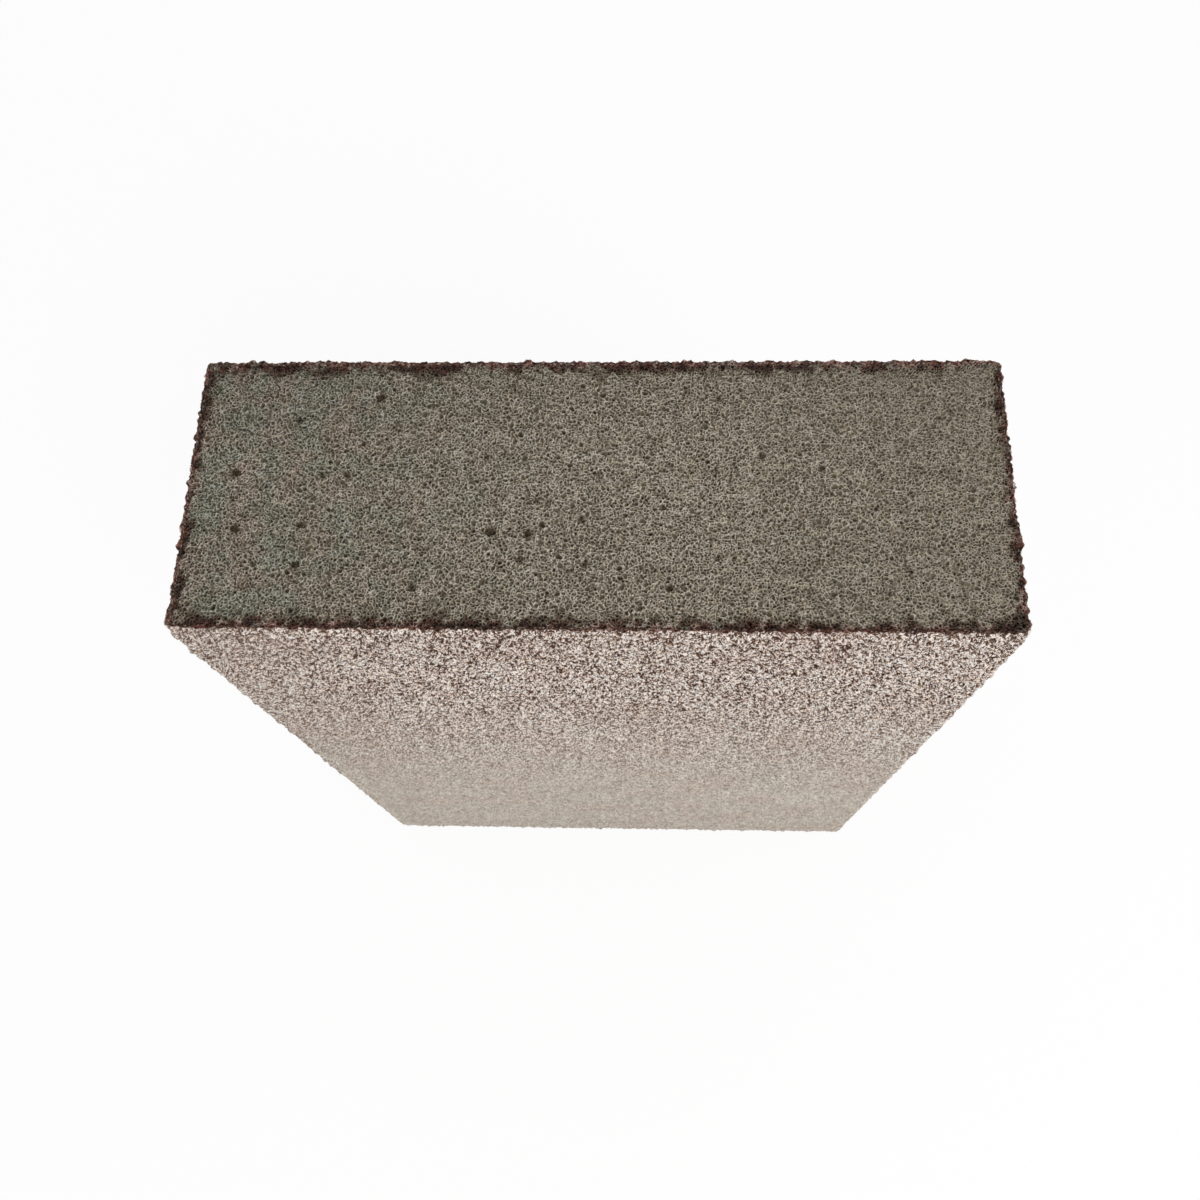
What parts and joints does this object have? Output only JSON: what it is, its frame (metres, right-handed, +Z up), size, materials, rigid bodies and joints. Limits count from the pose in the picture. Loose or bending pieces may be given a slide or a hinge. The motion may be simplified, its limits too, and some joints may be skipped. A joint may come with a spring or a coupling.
{
  "type": "sanding block",
  "caption": "Rectangular foam sanding block with abrasive on its wide sides and long edges and bare foam at its cut ends, rubbed by hand to smooth wood, filler or paint.",
  "frame": {"origin": "middle of the lower cut end, on the surface that the block stands on", "axes": "+Z up along the length, X across the width, Y through the thickness, with the front wide side facing -Y"},
  "size_m": [0.07, 0.025, 0.1],
  "materials": {
    "foam": "matte",
    "make_coat": "matte",
    "grain": "matte",
    "size_coat": "matte"
  },
  "bodies": {
    "root": {"foam_core": "foam", "front_make_coat": "make_coat", "front_grain": "grain", "front_size_coat": "size_coat", "back_make_coat": "make_coat", "back_grain": "grain", "back_size_coat": "size_coat", "left_make_coat": "make_coat", "left_grain": "grain", "left_size_coat": "size_coat", "right_make_coat": "make_coat", "right_grain": "grain", "right_size_coat": "size_coat"}
  },
  "joints": []
}
